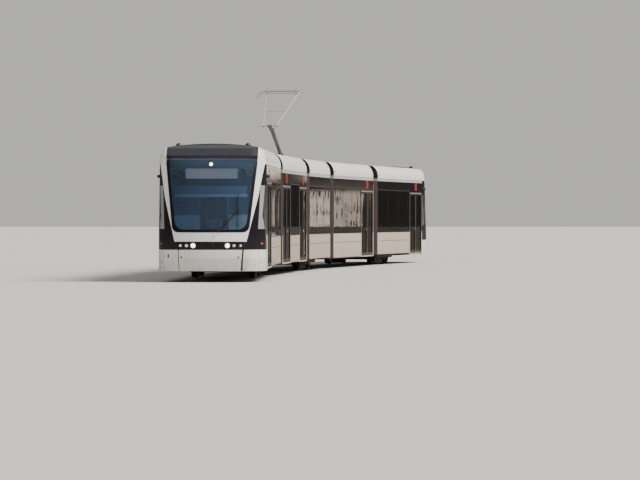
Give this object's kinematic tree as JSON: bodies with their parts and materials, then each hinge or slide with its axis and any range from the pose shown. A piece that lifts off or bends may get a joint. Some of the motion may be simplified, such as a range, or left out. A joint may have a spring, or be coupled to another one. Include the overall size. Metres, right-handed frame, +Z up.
{
  "type": "articulated low-floor tram",
  "caption": "Articulated low-floor tram with hung sections between bogie sections, cabs at both ends, roof fairings and a raised single-arm pantograph.",
  "frame": {"origin": "under the centre of the middle section, level with the tips of the wheel flanges", "axes": "+X along the middle section towards the leading cab, +Y to the left, +Z up"},
  "size_m": [32.5132, 3.9919, 5.4759],
  "materials": {
    "bellows_1_2": "coated fabric folds",
    "bellows_2_3": "coated fabric folds",
    "bellows_3_4": "coated fabric folds",
    "bellows_4_5": "coated fabric folds",
    "pantograph_base": "dark paint",
    "pantograph_head": "dark paint",
    "pantograph_lower_arm": "dark paint",
    "pantograph_rod": "dark paint",
    "pantograph_upper_arm": "dark paint",
    "s1_bogie_frame": "dark grey paint, dusty",
    "s1_cab_dark_panels": "gloss blue-black",
    "s1_cab_fittings": "lamps, wiper and camera arms",
    "s1_cab_front": "gloss paint",
    "s1_doors": "satin light grey",
    "s1_floor": "satin paint",
    "s1_glass": "tinted glass",
    "s1_interior": "moulded seats and steel poles",
    "s1_roof": "satin paint",
    "s1_roof_housings": "gloss paint",
    "s1_walls": "gloss paint, black above the window line",
    "s2_doors": "satin light grey",
    "s2_floor": "satin paint",
    "s2_glass": "tinted glass",
    "s2_interior": "moulded seats and steel poles",
    "s2_roof": "satin paint",
    "s2_roof_housings": "gloss paint",
    "s2_walls": "gloss paint, black above the window line",
    "s3_bogie_frame": "dark grey paint, dusty",
    "s3_floor": "satin paint",
    "s3_glass": "tinted glass",
    "s3_interior": "moulded seats and steel poles",
    "s3_roof": "satin paint",
    "s3_roof_housings": "gloss paint",
    "s3_walls": "gloss paint, black above the window line",
    "s4_doors": "satin light grey",
    "s4_floor": "satin paint",
    "s4_glass": "tinted glass",
    "s4_interior": "moulded seats and steel poles",
    "s4_roof": "satin paint",
    "s4_roof_housings": "gloss paint",
    "s4_walls": "gloss paint, black above the window line",
    "s5_bogie_frame": "dark grey paint, dusty",
    "s5_cab_dark_panels": "gloss blue-black",
    "s5_cab_fittings": "lamps, wiper and camera arms",
    "s5_cab_front": "gloss paint",
    "s5_doors": "satin light grey",
    "s5_floor": "satin paint",
    "s5_glass": "tinted glass",
    "s5_interior": "moulded seats and steel poles",
    "s5_roof": "satin paint",
    "s5_roof_housings": "gloss paint",
    "s5_walls": "gloss paint, black above the window line",
    "wheelset_1": "worn steel",
    "wheelset_2": "worn steel",
    "wheelset_3": "worn steel",
    "wheelset_4": "worn steel",
    "wheelset_5": "worn steel",
    "wheelset_6": "worn steel"
  },
  "bodies": {
    "section_1": {"s1_floor": "s1_floor", "s1_walls": "s1_walls", "s1_roof": "s1_roof", "s1_roof_housings": "s1_roof_housings", "s1_glass": "s1_glass", "s1_interior": "s1_interior", "s1_doors": "s1_doors", "s1_cab_fittings": "s1_cab_fittings", "s1_cab_front": "s1_cab_front", "s1_cab_dark_panels": "s1_cab_dark_panels", "s1_bogie_frame": "s1_bogie_frame", "bellows_1_2": "bellows_1_2"},
    "section_2": {"s2_floor": "s2_floor", "s2_walls": "s2_walls", "s2_roof": "s2_roof", "s2_roof_housings": "s2_roof_housings", "s2_glass": "s2_glass", "s2_interior": "s2_interior", "s2_doors": "s2_doors"},
    "section_3": {"s3_floor": "s3_floor", "s3_walls": "s3_walls", "s3_roof": "s3_roof", "s3_roof_housings": "s3_roof_housings", "s3_glass": "s3_glass", "s3_interior": "s3_interior", "s3_bogie_frame": "s3_bogie_frame", "pantograph_base": "pantograph_base", "bellows_2_3": "bellows_2_3", "bellows_3_4": "bellows_3_4"},
    "section_4": {"s4_floor": "s4_floor", "s4_walls": "s4_walls", "s4_roof": "s4_roof", "s4_roof_housings": "s4_roof_housings", "s4_glass": "s4_glass", "s4_interior": "s4_interior", "s4_doors": "s4_doors"},
    "section_5": {"s5_floor": "s5_floor", "s5_walls": "s5_walls", "s5_roof": "s5_roof", "s5_roof_housings": "s5_roof_housings", "s5_glass": "s5_glass", "s5_interior": "s5_interior", "s5_doors": "s5_doors", "s5_cab_fittings": "s5_cab_fittings", "s5_cab_front": "s5_cab_front", "s5_cab_dark_panels": "s5_cab_dark_panels", "s5_bogie_frame": "s5_bogie_frame", "bellows_4_5": "bellows_4_5"},
    "wheelset_1": {"wheelset_1": "wheelset_1"},
    "wheelset_2": {"wheelset_2": "wheelset_2"},
    "wheelset_3": {"wheelset_3": "wheelset_3"},
    "wheelset_4": {"wheelset_4": "wheelset_4"},
    "wheelset_5": {"wheelset_5": "wheelset_5"},
    "wheelset_6": {"wheelset_6": "wheelset_6"},
    "pantograph_lower_arm": {"pantograph_lower_arm": "pantograph_lower_arm"},
    "pantograph_upper_arm": {"pantograph_upper_arm": "pantograph_upper_arm"},
    "pantograph_rod": {"pantograph_rod": "pantograph_rod"},
    "pantograph_head": {"pantograph_head": "pantograph_head"}
  },
  "joints": [
    {"name": "articulation_2_3", "type": "hinge", "parent": "section_3", "child": "section_2", "pos_m": [2.23, 0, 0.326], "axis": [0, 0, 1], "range_deg": [-17.9, 12.1], "deforming": ["bellows_2_3"]},
    {"name": "articulation_1_2", "type": "hinge", "parent": "section_2", "child": "section_1", "pos_m": [8.44203, 0.31469, 0.326], "axis": [0, 0, 1], "range_deg": [-19.3, 10.7], "deforming": ["bellows_1_2"]},
    {"name": "articulation_3_4", "type": "hinge", "parent": "section_3", "child": "section_4", "pos_m": [-2.23, 0, 0.326], "axis": [0, 0, 1], "range_deg": [-10.5, 19.5], "deforming": ["bellows_3_4"]},
    {"name": "articulation_4_5", "type": "hinge", "parent": "section_4", "child": "section_5", "pos_m": [-8.43083, 0.48802, 0.326], "axis": [0, 0, 1], "range_deg": [-12.9, 17.1], "deforming": ["bellows_4_5"]},
    {"name": "wheelset_1_spin", "type": "hinge", "parent": "section_1", "child": "wheelset_1", "pos_m": [11.83507, 0.74333, 0.326], "axis": [-0.1253, 0.9921, 0], "continuous": true},
    {"name": "wheelset_2_spin", "type": "hinge", "parent": "section_1", "child": "wheelset_2", "pos_m": [9.99965, 0.51146, 0.326], "axis": [-0.1253, 0.9921, 0], "continuous": true},
    {"name": "wheelset_3_spin", "type": "hinge", "parent": "section_3", "child": "wheelset_3", "pos_m": [0.925, 0, 0.326], "axis": [0, 1, 0], "continuous": true},
    {"name": "wheelset_4_spin", "type": "hinge", "parent": "section_3", "child": "wheelset_4", "pos_m": [-0.925, 0, 0.326], "axis": [0, 1, 0], "continuous": true},
    {"name": "wheelset_5_spin", "type": "hinge", "parent": "section_5", "child": "wheelset_5", "pos_m": [-11.82816, 0.8811, 0.326], "axis": [-0.1149, -0.9934, 0], "continuous": true},
    {"name": "wheelset_6_spin", "type": "hinge", "parent": "section_5", "child": "wheelset_6", "pos_m": [-9.99042, 0.66847, 0.326], "axis": [-0.1149, -0.9934, 0], "continuous": true},
    {"name": "pantograph_lower_arm_hinge", "type": "hinge", "parent": "section_3", "child": "pantograph_lower_arm", "pos_m": [-0.6, 0, 3.506], "axis": [0, 1, 0], "range_deg": [-20, 20]},
    {"name": "pantograph_upper_arm_hinge", "type": "hinge", "parent": "pantograph_lower_arm", "child": "pantograph_upper_arm", "pos_m": [1.2, 0, 4.326], "axis": [0, 1, 0], "range_deg": [-42.3, 42.3]},
    {"name": "pantograph_head_hinge", "type": "hinge", "parent": "pantograph_upper_arm", "child": "pantograph_head", "pos_m": [-0.94, 0, 5.406], "axis": [0, 1, 0], "range_deg": [-22.3, 22.3]},
    {"name": "pantograph_rod_hinge", "type": "hinge", "parent": "section_3", "child": "pantograph_rod", "pos_m": [-0.33, 0, 3.426], "axis": [0, 1, 0], "range_deg": [-20, 20]}
  ],
  "couplings": [
    {"joint": "pantograph_upper_arm_hinge", "follows": "pantograph_lower_arm_hinge", "ratio": -2.115},
    {"joint": "pantograph_head_hinge", "follows": "pantograph_lower_arm_hinge", "ratio": 1.115},
    {"joint": "pantograph_rod_hinge", "follows": "pantograph_lower_arm_hinge", "ratio": 1}
  ]
}
